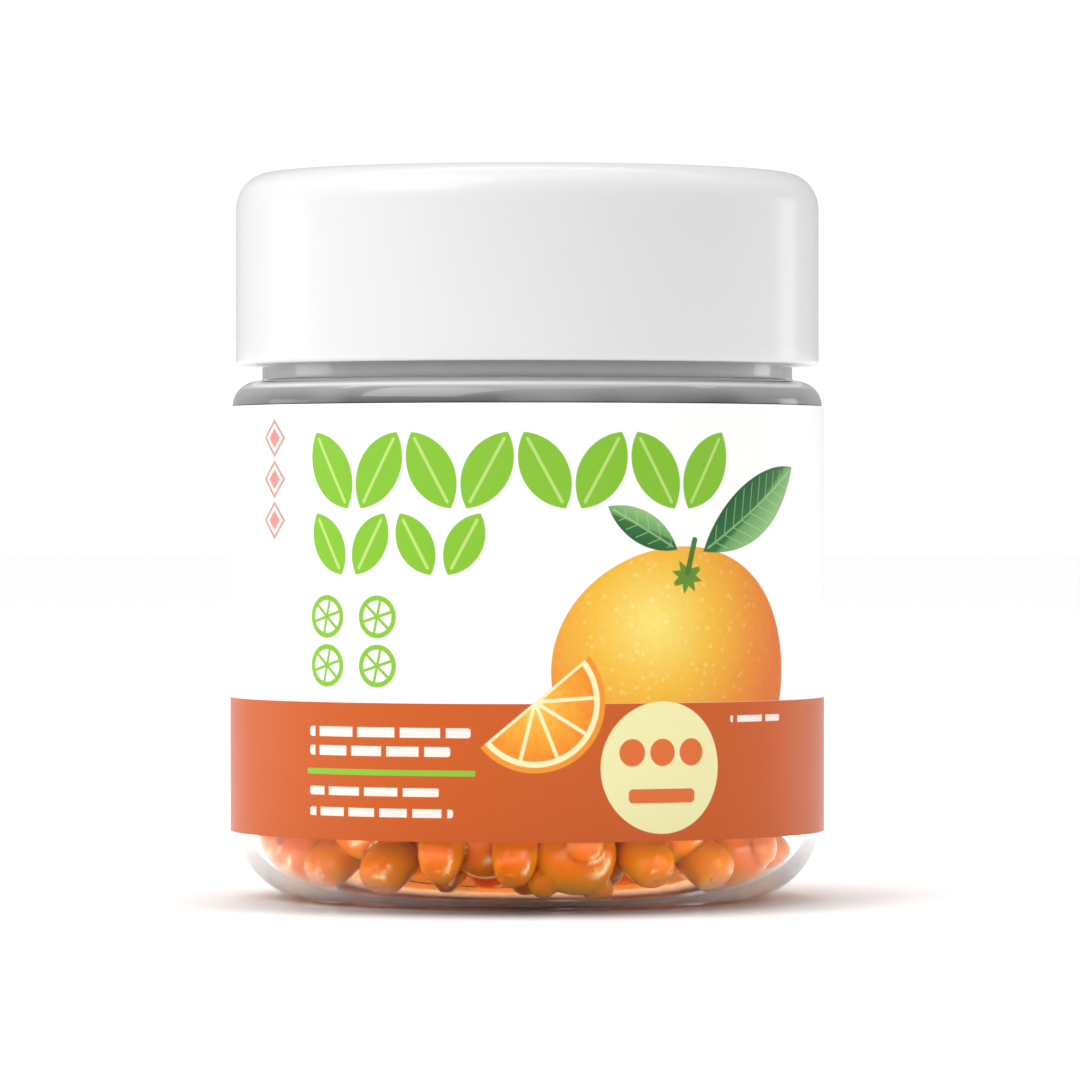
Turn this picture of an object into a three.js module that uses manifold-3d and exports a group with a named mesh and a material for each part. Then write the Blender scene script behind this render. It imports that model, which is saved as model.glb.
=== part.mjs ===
// A clear, thick-walled plastic jar of small orange gummies, with a tall smooth white screw cap and a
// label round its body. Millimetres, +Z up, the origin at the centre of the foot, the label's front
// towards -Y. The four nodes are jar, lid, label and gummies.
import * as THREE from "three";
import { mergeVertices } from "three/addons/utils/BufferGeometryUtils.js";
import Module from "manifold-3d";

const wasm = await Module();
wasm.setup();

const SIDES = 60; // flats round every turned solid
const CORNER_STEPS = 7; // chords in a large rounded corner
const SMALL_STEPS = 4; // chords in a small one

// Jar: outside
const JAR_R = 32.25;
const JAR_CORNER = 9.0; // rounding from the wall down to the foot
const SHOULDER_Z = 53.9; // where the straight wall ends
const SHOULDER_RISE = 2.7;
const SHOULDER_RUN = 2.9;
const NECK_R = 29.0;
const NECK_FILLET = 0.35;
const RIM_Z = 76.8;
const RIM_ROUND = 0.6;

// Jar: inside
const FLOOR_Z = 1.0;
const INNER_R = 30.6;
const INNER_RUN = 9.1; // the floor's rounding, across
const INNER_RISE = 7.7; // and up
const NECK_INNER_R = 27.2;
const INNER_SHOULDER_Z = 52.3;
const INNER_SHOULDER_RISE = 2.6;

// Lid: a hollow cap
const LID_R = 31.9;
const LID_BOTTOM = 58.3; // height of its rim on the jar
const LID_TALL = 21.26;
const LID_CROWN = 0.3; // how far the middle of the top stands above its edge
const LID_CORNER_RUN = 3.5;
const LID_CORNER_RISE = 4.0;
const LID_INNER_R = 29.5;
const LID_PLATE = 2.15; // thickness of the top with its liner
const LID_RIM_ROUND = 0.4;

// Label: a band with a butt seam at the back
const LABEL_INNER_R = 32.31;
const LABEL_OUTER_R = 32.5;
const LABEL_BOTTOM = 7.5;
const LABEL_TOP = 53.8;
const SEAM_ANGLE = THREE.MathUtils.degToRad(1.4);

// Gummies. A piece is a small figure made of rounded lobes: [x, y, z, rx, ry, rz], with z along its
// body and its face towards -y. Mirrored lobes are made on both sides.
const PIECES = 30;
const TORSO = [0, 0, 0, 5.7, 5.0, 6.8];
const HEAD = [0, -0.3, 8.0, 4.4, 4.1, 4.2];
const SNOUT = [0, -3.9, 7.3, 2.1, 1.6, 2.0];
const EAR = [3.0, 0.2, 11.3, 1.6, 1.4, 1.6];
const ARM = [4.3, -3.2, 3.0, 2.1, 3.2, 2.1];
const LEG = [4.0, -3.9, -4.8, 2.5, 3.7, 2.5];
const BACK_Y = 4.2; // the flat back left by the mould
// Balls that stand for a piece while the heap settles: [x, y, z, r]
const BALLS = [
  [0, -0.2, 1.8, 5.3],
  [0, -0.2, -2.0, 5.3],
  [0, -0.3, 8.0, 4.2],
  [3.0, 0.2, 11.3, 1.5],
  [-3.0, 0.2, 11.3, 1.5],
  [4.3, -4.2, 3.0, 2.2],
  [-4.3, -4.2, 3.0, 2.2],
  [4.0, -5.0, -4.8, 2.5],
  [-4.0, -5.0, -4.8, 2.5],
];
const SEED = 3013;
const RING = 14; // pieces that stand round the wall, before the others fall on them
const RING_R = 22.5;
const RING_Z = 12;
const LEAN = 0.5; // how far a standing piece leans
const HEAD_DOWN = 0.5; // share of them that stand on their heads
const TURN_SPREAD = 0.5; // how far a piece's back turns away from the middle
const DROP_BASE = 10; // height of the lowest piece before it settles
const DROP_STEP = 1.1; // and from each piece to the next
const DROP_R = 20;
const SETTLE_STEPS = 1200;
const CALM_STEPS = 150; // the last steps, at a lower weight
const WEIGHT = 0.05; // fall of a free piece in one step
const CALM_WEIGHT = 0.008;
const RELAX = 0.22; // share of a contact's overlap that one step takes away
const TURN_ARM2 = 40; // mean square distance of a contact from a piece's centre
const SPREAD = 0.03; // how far a low piece moves outwards in one step
const SPREAD_TOP = 13;
const WALL_PRESS = 0.35; // how far the soft pieces press on the jar's wall
const FLOOR_PRESS = 0.4; // and on its floor
const HEAP_CORNER = 8.2; // rounding of the room the pieces settle in
const HEAP_GAP = 0.15; // between the heap and the jar
const FACET_SWELL = { 8: 0.3, 20: 0.14, 80: 0.04 }; // a ball of few flats is made larger to match
const CORE_R = 24;
const CORE_BOTTOM = 6.5;
const CORE_TOP = 28.5;
const CORE_ROUND = 4;
const CORE_SIDES = 20;
const SHOW_Z = 6.5; // lobes centred under this height show below the label

// Points of a quarter of an ellipse about (cr, cz), from angle a to angle b in radians, both ends in.
function arc(cr, cz, run, rise, a, b, steps) {
  const points = [];
  for (let i = 0; i <= steps; i += 1) {
    const t = a + ((b - a) * i) / steps;
    points.push([cr + run * Math.cos(t), cz + rise * Math.sin(t)]);
  }
  return points;
}

// A turned solid's geometry from [r, z] points that start and end on the axis, or close on themselves.
function turned(points, sides) {
  const profile = points.map(([r, z]) => new THREE.Vector2(Math.max(r, 0), z));
  const geometry = new THREE.LatheGeometry(profile, sides);
  geometry.rotateX(Math.PI / 2); // the lathe turns about Y
  return merged(geometry);
}

// The geometry with only its positions, equal ones joined, and no face without an area.
function merged(geometry) {
  geometry.deleteAttribute("normal");
  geometry.deleteAttribute("uv");
  const joined = mergeVertices(geometry, 1e-4);
  const index = joined.index.array;
  const kept = [];
  for (let i = 0; i < index.length; i += 3) {
    const [a, b, c] = [index[i], index[i + 1], index[i + 2]];
    if (a !== b && b !== c && c !== a) kept.push(a, b, c);
  }
  joined.setIndex(kept);
  return joined;
}

// A closed geometry as a manifold-3d solid, turned right side out where it comes inside out.
function solidOf(geometry) {
  const make = (triVerts) =>
    new wasm.Manifold(
      new wasm.Mesh({
        numProp: 3,
        vertProperties: new Float32Array(geometry.attributes.position.array),
        triVerts,
      }),
    );
  const triVerts = new Uint32Array(geometry.index.array);
  const solid = make(triVerts);
  if (solid.volume() > 0) return solid;
  for (let i = 0; i < triVerts.length; i += 3) {
    [triVerts[i + 1], triVerts[i + 2]] = [triVerts[i + 2], triVerts[i + 1]];
  }
  return make(triVerts);
}

// A named mesh of a manifold-3d solid.
function meshOf(name, solid, colour, roughness, extra = {}) {
  const m = solid.getMesh();
  const n = m.numProp;
  const positions = new Float32Array(m.numVert * 3);
  for (let i = 0; i < m.numVert; i += 1) {
    positions.set(m.vertProperties.subarray(i * n, i * n + 3), i * 3);
  }
  const geometry = new THREE.BufferGeometry();
  geometry.setAttribute("position", new THREE.BufferAttribute(positions, 3));
  geometry.setIndex(new THREE.BufferAttribute(new Uint32Array(m.triVerts), 1));
  geometry.computeVertexNormals();
  const material = new THREE.MeshStandardMaterial({
    color: colour,
    roughness,
    metalness: 0,
    ...extra,
  });
  const mesh = new THREE.Mesh(geometry, material);
  mesh.name = name;
  return mesh;
}

// The jar: a flat foot, a large rounded corner, a straight wall, a soft shoulder and a wide open neck.
function jarSolid() {
  const quarter = Math.PI / 2;
  const neckStart = SHOULDER_Z + SHOULDER_RISE + NECK_FILLET;
  const points = [
    [0, 0],
    ...arc(JAR_R - JAR_CORNER, JAR_CORNER, JAR_CORNER, JAR_CORNER, -quarter, 0, CORNER_STEPS),
    ...arc(JAR_R - SHOULDER_RUN, SHOULDER_Z, SHOULDER_RUN, SHOULDER_RISE, 0, quarter, SMALL_STEPS + 1),
    [NECK_R, neckStart],
    [NECK_R, RIM_Z - RIM_ROUND],
    [NECK_R - RIM_ROUND, RIM_Z],
    [NECK_INNER_R + RIM_ROUND, RIM_Z],
    [NECK_INNER_R, RIM_Z - RIM_ROUND],
    ...arc(
      NECK_INNER_R,
      INNER_SHOULDER_Z,
      INNER_R - NECK_INNER_R,
      INNER_SHOULDER_RISE,
      quarter,
      0,
      SMALL_STEPS,
    ),
    ...arc(
      INNER_R - INNER_RUN,
      FLOOR_Z + INNER_RISE,
      INNER_RUN,
      INNER_RISE,
      0,
      -quarter,
      CORNER_STEPS - 1,
    ),
    [0, FLOOR_Z],
  ];
  return solidOf(turned(points, SIDES));
}

// The lid, from its rim up: a straight smooth skirt, a rounded edge and a slightly crowned top.
function lidSolid() {
  const quarter = Math.PI / 2;
  const edgeZ = LID_TALL - LID_CROWN;
  const cornerR = LID_R - LID_CORNER_RUN;
  const plateZ = LID_TALL - LID_PLATE;
  const points = [
    [0, plateZ],
    [LID_INNER_R - 1, plateZ],
    [LID_INNER_R, plateZ - 1],
    [LID_INNER_R, 0],
    [LID_R - LID_RIM_ROUND, 0],
    [LID_R, LID_RIM_ROUND],
    ...arc(
      cornerR,
      edgeZ - LID_CORNER_RISE,
      LID_CORNER_RUN,
      LID_CORNER_RISE,
      0,
      quarter,
      CORNER_STEPS - 1,
    ),
    [cornerR * 0.55, LID_TALL - LID_CROWN * 0.3],
    [0, LID_TALL],
  ];
  return solidOf(turned(points, SIDES));
}

// The label, from its lower edge up: a thin ring with a narrow butt seam at the back.
function labelSolid() {
  const from = Math.PI / 2 + SEAM_ANGLE / 2;
  const to = from + 2 * Math.PI - SEAM_ANGLE;
  const shape = new THREE.Shape();
  shape.absarc(0, 0, LABEL_OUTER_R, from, to, false);
  shape.lineTo(LABEL_INNER_R * Math.cos(to), LABEL_INNER_R * Math.sin(to));
  shape.absarc(0, 0, LABEL_INNER_R, to, from, true);
  shape.closePath();
  const geometry = new THREE.ExtrudeGeometry(shape, {
    depth: LABEL_TOP - LABEL_BOTTOM,
    bevelEnabled: false,
    curveSegments: SIDES / 2,
    steps: 1,
  });
  return solidOf(merged(geometry));
}

// Even draws from 0 to 1 that come out the same each time.
function seeded(seed) {
  let state = seed;
  return () => {
    state = (state * 16807) % 2147483647;
    return state / 2147483647;
  };
}

const cross = (a, b) => [
  a[1] * b[2] - a[2] * b[1],
  a[2] * b[0] - a[0] * b[2],
  a[0] * b[1] - a[1] * b[0],
];
const dot = (a, b) => a[0] * b[0] + a[1] * b[1] + a[2] * b[2];
const scaled = (a, k) => [a[0] * k, a[1] * k, a[2] * k];
const plus = (a, b) => [a[0] + b[0], a[1] + b[1], a[2] + b[2]];
const unit = (a) => scaled(a, 1 / Math.sqrt(dot(a, a)));

// Each piece's place before the heap settles: its centre c and the unit axes x, y and z of its own frame.
// The first RING pieces stand round the wall, on their feet or their heads, and the others fall on them.
function firstPoses(random) {
  const spread = () => 2 * random() - 1;
  const poses = [];
  for (let i = 0; i < PIECES; i += 1) {
    let spot = [1, 1];
    let z = [0, 0, 0];
    let height = RING_Z;
    if (i < RING) {
      const angle = (2 * Math.PI * (i + 0.35 * spread())) / RING;
      spot = [Math.cos(angle) * RING_R, Math.sin(angle) * RING_R];
      z = [LEAN * spread(), LEAN * spread(), random() < HEAD_DOWN ? -1 : 1];
    } else {
      while (spot[0] * spot[0] + spot[1] * spot[1] > 1) spot = [spread(), spread()];
      spot = [spot[0] * DROP_R, spot[1] * DROP_R];
      while (dot(z, z) < 0.05 || dot(z, z) > 1) z = [spread(), spread(), spread()];
      height = DROP_BASE + DROP_STEP * i;
    }
    z = unit(z);
    const inward = unit([-spot[0], -spot[1], 0]);
    let y = plus(inward, scaled([spread(), spread(), spread()], TURN_SPREAD));
    y = unit(plus(y, scaled(z, -dot(y, z))));
    poses.push({ c: [...spot, height], x: cross(y, z), y, z });
  }
  return poses;
}

const placed = (pose, [x, y, z]) =>
  plus(plus(scaled(pose.x, x), scaled(pose.y, y)), scaled(pose.z, z));

// How far a ball at p is pushed by the jar's wall, rounded corner and floor.
function wallPush(p, r) {
  const roomR = INNER_R + WALL_PRESS;
  const floor = FLOOR_Z - FLOOR_PRESS;
  const push = [0, 0, 0];
  const away = Math.sqrt(p[0] * p[0] + p[1] * p[1]);
  const inCorner = away > roomR - HEAP_CORNER && p[2] < floor + HEAP_CORNER;
  if (inCorner) {
    const dr = away - (roomR - HEAP_CORNER);
    const dz = p[2] - (floor + HEAP_CORNER);
    const d = Math.sqrt(dr * dr + dz * dz);
    const over = d + r - HEAP_CORNER;
    if (over > 0 && d > 1e-9) {
      push[0] = (((-over * dr) / d) * p[0]) / away;
      push[1] = (((-over * dr) / d) * p[1]) / away;
      push[2] = (-over * dz) / d;
    }
    return push;
  }
  const over = away + r - roomR;
  if (over > 0 && away > 1e-9) {
    push[0] = (-over * p[0]) / away;
    push[1] = (-over * p[1]) / away;
  }
  const under = floor + r - p[2];
  if (under > 0) push[2] = under;
  return push;
}

// The settled heap: every step moves and turns each piece out of what it overlaps and lets it sink.
function settledPoses() {
  const poses = firstPoses(seeded(SEED));
  for (let step = 0; step < SETTLE_STEPS; step += 1) {
    const weight = step < SETTLE_STEPS - CALM_STEPS ? WEIGHT : CALM_WEIGHT;
    const arms = poses.map((pose) => BALLS.map((ball) => placed(pose, ball)));
    const forces = poses.map(() => [0, 0, 0]);
    const torques = poses.map(() => [0, 0, 0]);
    const act = (i, arm, force) => {
      forces[i] = plus(forces[i], force);
      torques[i] = plus(torques[i], cross(arm, force));
    };
    for (let i = 0; i < PIECES; i += 1) {
      for (let a = 0; a < BALLS.length; a += 1) {
        const p = plus(poses[i].c, arms[i][a]);
        act(i, arms[i][a], wallPush(p, BALLS[a][3]));
        for (let j = i + 1; j < PIECES; j += 1) {
          for (let b = 0; b < BALLS.length; b += 1) {
            const q = plus(poses[j].c, arms[j][b]);
            const apart = [p[0] - q[0], p[1] - q[1], p[2] - q[2]];
            const d2 = dot(apart, apart);
            const reach = BALLS[a][3] + BALLS[b][3];
            if (d2 < reach * reach && d2 > 1e-9) {
              const d = Math.sqrt(d2);
              const force = scaled(apart, (0.5 * (reach - d)) / d);
              act(i, arms[i][a], force);
              act(j, arms[j][b], scaled(force, -1));
            }
          }
        }
      }
    }
    poses.forEach((pose, i) => {
      if (pose.c[2] < SPREAD_TOP) {
        const outward = unit([pose.c[0], pose.c[1], 0]);
        forces[i] = plus(forces[i], scaled(outward, SPREAD / RELAX));
      }
      pose.c = plus(pose.c, scaled(forces[i], RELAX));
      pose.c[2] -= weight;
      const turn = scaled(torques[i], RELAX / TURN_ARM2);
      pose.z = unit(plus(pose.z, cross(turn, pose.z)));
      pose.y = plus(pose.y, cross(turn, pose.y));
      pose.y = unit(plus(pose.y, scaled(pose.z, -dot(pose.y, pose.z))));
      pose.x = cross(pose.y, pose.z);
    });
  }
  return poses;
}

// One lobe of a piece as a solid in the jar's frame, with 8, 20 or 80 flats.
function lobe([x, y, z, rx, ry, rz], flats, pose) {
  const swell = 1 + FACET_SWELL[flats];
  const ball =
    flats === 8
      ? new THREE.OctahedronGeometry(swell, 0)
      : new THREE.IcosahedronGeometry(swell, flats === 20 ? 0 : 1);
  const place = new THREE.Matrix4().makeBasis(
    new THREE.Vector3(...pose.x),
    new THREE.Vector3(...pose.y),
    new THREE.Vector3(...pose.z),
  );
  place.setPosition(...pose.c);
  ball.scale(rx, ry, rz);
  ball.translate(x, y, z);
  ball.applyMatrix4(place);
  return solidOf(merged(ball));
}

// One gummy: torso, head, snout, ears, arms and legs joined, with the back cut flat. A piece that
// only the label hides has fewer flats and no snout or ears.
function pieceSolid(pose) {
  const mirrored = ([x, ...rest]) => [-x, ...rest];
  const limbs = [ARM, LEG, mirrored(ARM), mirrored(LEG)];
  const small = [EAR, mirrored(EAR), SNOUT];
  const shows = (l) => pose.c[2] + placed(pose, l)[2] < SHOW_Z;
  const parts = [
    lobe(TORSO, 20, pose),
    lobe(HEAD, shows(HEAD) ? 80 : 20, pose),
    ...limbs.map((l) => lobe(l, shows(l) ? 20 : 8, pose)),
    ...small.filter(shows).map((l) => lobe(l, 8, pose)),
  ];
  const whole = wasm.Manifold.union(parts);
  return whole.trimByPlane(scaled(pose.y, -1), -(dot(pose.y, pose.c) + BACK_Y));
}

// The room inside the jar that the heap keeps to.
function roomSolid() {
  const floor = FLOOR_Z + HEAP_GAP;
  const points = [
    [0, floor],
    ...arc(
      INNER_R - HEAP_GAP - INNER_RUN,
      floor + INNER_RISE,
      INNER_RUN,
      INNER_RISE,
      -Math.PI / 2,
      0,
      CORNER_STEPS - 1,
    ),
    [INNER_R - HEAP_GAP, INNER_SHOULDER_Z],
    [0, INNER_SHOULDER_Z],
  ];
  return solidOf(turned(points, SIDES));
}

// The core under the pieces that show.
function coreSolid() {
  const points = [
    [0, CORE_BOTTOM],
    [CORE_R - CORE_ROUND, CORE_BOTTOM],
    [CORE_R, CORE_BOTTOM + CORE_ROUND],
    [CORE_R, CORE_TOP - CORE_ROUND],
    [CORE_R - CORE_ROUND, CORE_TOP],
    [0, CORE_TOP],
  ];
  return solidOf(turned(points, CORE_SIDES));
}

function heapSolid() {
  const pieces = settledPoses().map(pieceSolid);
  const heap = wasm.Manifold.union([coreSolid(), ...pieces]).intersect(roomSolid());
  const bodies = heap.decompose().sort((a, b) => b.volume() - a.volume());
  return bodies[0];
}

const root = new THREE.Group();
root.name = "gummy_jar";

const jar = meshOf("jar", jarSolid(), 0xd9dde0, 0.06, { transparent: true, opacity: 0.35 });
const gummies = meshOf("gummies", heapSolid(), 0xe0700f, 0.18);
const label = meshOf("label", labelSolid(), 0xffffff, 0.35);
label.position.z = LABEL_BOTTOM;
const body = new THREE.Group();
body.add(jar, gummies, label);

const lid = meshOf("lid", lidSolid(), 0xf2f2f2, 0.22);
const closure = new THREE.Group();
closure.position.z = LID_BOTTOM;
closure.add(lid);

root.add(body, closure);

export default root;
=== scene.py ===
"""A clear jar of orange gummies with a white screw cap and a printed label, as a Blender add-on.

Sizes in the code are millimetres and angles are radians unless a name says otherwise. Meshes are in
metres.
"""

import math

import bpy
import numpy as np
from mathutils import Matrix, Vector


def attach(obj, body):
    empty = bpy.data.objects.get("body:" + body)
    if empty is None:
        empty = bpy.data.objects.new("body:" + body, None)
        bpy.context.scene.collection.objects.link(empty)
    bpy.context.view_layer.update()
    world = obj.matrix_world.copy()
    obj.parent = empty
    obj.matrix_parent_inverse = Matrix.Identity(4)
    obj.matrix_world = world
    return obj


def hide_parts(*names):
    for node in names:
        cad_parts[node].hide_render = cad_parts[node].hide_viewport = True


bl_info = {
    "name": "Jar of Gummies",
    "version": (1, 0, 0),
    "blender": (4, 5, 0),
    "location": "View3D > Sidebar > Jar",
    "description": "Builds a clear jar of gummy candy with its cap, its label and a plain stage",
    "category": "Add Mesh",
}

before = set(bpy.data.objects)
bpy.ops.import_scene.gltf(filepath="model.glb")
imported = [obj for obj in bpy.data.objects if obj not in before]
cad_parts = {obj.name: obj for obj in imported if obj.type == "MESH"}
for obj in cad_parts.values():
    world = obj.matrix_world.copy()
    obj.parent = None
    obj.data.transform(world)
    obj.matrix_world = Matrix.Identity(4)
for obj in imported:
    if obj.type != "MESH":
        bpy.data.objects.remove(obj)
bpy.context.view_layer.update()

MM = 0.001
QUARTER = math.pi / 2

# The jar's outside
JAR_R = 32.25
FOOT_CORNER = 9.0
DENT_R, DENT_RUN, DENT_RISE = 15.0, 3.0, 0.25  # the foot's shallow push-up
SHOULDER_Z, SHOULDER_RUN, SHOULDER_RISE = 53.9, 2.9, 2.7
NECK_R = 29.0
NECK_FILLET = 0.35
RIM_Z, RIM_ROUND = 76.8, 0.6
SATIN_Z, SATIN_R = 53.2, 28.5  # the outside above and beyond these is misty
# greys by height up the neck: painted shade, darkest at the label's top and a little darker under the
# cap, with a painted highlight line at the shoulder's top
NECK_SHADE_AND_HIGHLIGHT = ((0, 0.06), (0.25, 0.16), (0.47, 0.3), (0.54, 0.85), (0.6, 0.48), (0.8, 0.62), (1, 0.42))
FOOT_SHADE_Z = 6.5  # painted shade: the foot's edges are darkest below this
FOOT_R = 23.5  # the flat that the jar stands on

# The jar's inside, which the gummies keep to
FLOOR_Z = 1.0
INNER_R = 30.6
INNER_RUN = 9.1
INNER_RISE = 7.7
INNER_SHOULDER_Z, INNER_SHOULDER_RISE = 52.3, 2.6
NECK_INNER_R = 27.2

# The cap
CAP_R, CAP_INNER_R = 31.9, 29.5
CAP_LOW, CAP_TOP = 58.3, 79.56
CAP_PLATE_Z = 77.41  # the underside of its top plate
CAP_CORNER_Z, CAP_CORNER_RUN, CAP_CORNER_RISE = 75.26, 3.5, 4.0
CAP_INNER_CORNER = 1.1
CAP_CROWN = 0.3
CAP_LIP_IN, CAP_LIP_OUT = 0.35, 0.45
CAP_TOP_SHADE_Z = 77.5  # painted shade: its rounded top edge turns greyer from here up

# The label
LABEL_OUT = 32.5
LABEL_IN = 32.31
LABEL_LOW = 7.5
LABEL_HIGH = 53.8
SEAM = math.radians(1.4)
LABEL_SHARP = math.radians(40)
BAND_TOP = 22.1  # the orange field's upper edge

# A piece: its lobes are (x, y, z, rx, ry, rz), with z along its body and its face towards -y
TORSO = (0.0, 0.0, 0.0, 5.7, 5.0, 6.8)
HEAD = (0.0, -0.3, 8.0, 4.4, 4.1, 4.2)
SNOUT = (0.0, -3.9, 7.3, 2.1, 1.6, 2.0)
EAR = (3.0, 0.2, 11.3, 1.6, 1.4, 1.6)
ARM = (4.3, -3.2, 3.0, 2.1, 3.2, 2.1)
LEG = (4.0, -3.9, -4.8, 2.5, 3.7, 2.5)
BELLY = (0, -1.2, -0.8, 4.3, 4.4, 4.9)
NOSE = (0, -5.3, 8.1, 0.75, 0.5, 0.55)
EYE = (1.65, -3.9, 9.6, 0.5, 0.4, 0.5)
EAR_HOLLOW = (3.0, -1.1, 11.4, 0.75, 0.5, 0.75)
LEG_PAD = (4.0, -7.35, -4.8, 1.5, 0.5, 1.5)
ARM_PAD = (4.3, -6.2, 3.0, 1.2, 0.4, 1.2)
BACK_Y = 4.2
BALLS = np.array(  # the balls that stand for a piece while it settles: x, y, z, radius
    [
        [0, -0.2, 1.8, 5.3],
        [0, -0.2, -2.0, 5.3],
        [0, -0.3, 8.0, 4.2],
        [3.0, 0.2, 11.3, 1.5],
        [-3.0, 0.2, 11.3, 1.5],
        [4.3, -4.2, 3.0, 2.2],
        [-4.3, -4.2, 3.0, 2.2],
        [4.0, -5.0, -4.8, 2.5],
        [-4.0, -5.0, -4.8, 2.5],
    ]
)

# The heap
PIECES = 30
SEED = 3013
DROP_BASE, DROP_STEP, DROP_R = 10, 1.1, 20
SETTLE_STEPS, CALM_STEPS = 1200, 150
WEIGHT, CALM_WEIGHT = 0.05, 0.008
RELAX, TURN_ARM2 = 0.22, 40
WALL_PRESS, FLOOR_PRESS = 0.35, 0.4  # how far the soft pieces press on the jar
HEAP_CORNER = 8.2
RING, RING_R, RING_Z = 14, 22.5, 12.0
LEAN, HEAD_DOWN = 0.5, 0.5
TURN_SPREAD = 0.5
SPREAD, SPREAD_TOP = 0.03, 13.0
SKIN_GAP = 0.06  # between the pieces and the jar
HIDDEN_GRAIN = 1.7  # how much coarser the pieces are that the label hides

# The photo's camera, found from the curves of the cap's and label's edges
PHOTO_SIDE = 1080
MM_PER_PIXEL = 0.1096  # at the jar's axis
EYE_DISTANCE = 797.0
EYE_HEIGHT = 42.5
AXIS_PIXEL = (527.3, 510.0)  # where the axis and the eye's height fall in the picture
SENSOR = 36.0

# The stage
LIGHTS = (  # name, degrees left and up, metres away, side lengths in metres, brightness
    ("left_strip", 106, 2, 0.8, (0.36, 0.3), 1.0),
    ("right_strip", -122, 2, 0.8, (0.2, 0.3), 1.3),
    ("key_box", 50, 46, 1.1, (0.8, 0.8), 2.6),
    ("top_strip", 180, 74, 0.8, (1.3, 0.07), 3.0),
)
OVERHEAD = 0.75
JAR_MIDDLE = 40.0  # the height that the lights face
FROM_BEHIND = 0.2  # how much more of the even light comes from behind
WINDOWS = (  # the x, y and z of the way to it, the cosine at its edge, its share of the brightness
    (0.6, -0.76, 0.24, 0.945, 1.0),
    (-0.5, -0.82, 0.28, 0.985, 0.8),
)
FLOOR_HALF = 6000.0
SHADE_R, SHADE_SOFT = 31.0, 10.5  # the contact shadow's ring
STAND_SHADE = 0.26  # metres in front of the jar where the floor turns dark


def srgb(red, green, blue):
    """A screen colour of 0 to 255 as linear numbers: ((c + 0.055) / 1.055) ** 2.4 over the toe."""
    c = np.array([red, green, blue]) / 255
    return tuple(np.where(c <= 0.04045, c / 12.92, ((c + 0.055) / 1.055) ** 2.4))


def dimmed(colour, share):
    return tuple(share * c for c in colour)


# ---------------------------------------------------------------- shader maths


class Num:
    """A number socket of a material. Python's operators on it add Math nodes."""

    def __init__(self, tree, socket):
        self.tree, self.socket = tree, socket

    def do(self, operation, *others):
        return self.tree.maths(operation, self, *others)

    def __add__(self, other):
        return self.do("ADD", other)

    def __sub__(self, other):
        return self.do("SUBTRACT", other)

    def __rsub__(self, other):
        return self.tree.maths("SUBTRACT", other, self)

    def __mul__(self, other):
        return self.do("MULTIPLY", other)

    def __truediv__(self, other):
        return self.do("DIVIDE", other)

    def __rtruediv__(self, other):
        return self.tree.maths("DIVIDE", other, self)

    def __mod__(self, other):
        return self.do("FLOORED_MODULO", other)

    def __pow__(self, other):
        return self.do("POWER", other)

    def __neg__(self):
        return self * -1

    def __abs__(self):
        return self.do("ABSOLUTE")

    __radd__ = __add__
    __rmul__ = __mul__

    def floor(self):
        return self.do("FLOOR")

    def root(self):
        return self.do("SQRT")

    def low(self, other):
        return self.do("MINIMUM", other)

    def high(self, other):
        return self.do("MAXIMUM", other)

    def clamped(self):
        return self.high(0.0).low(1.0)


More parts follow.
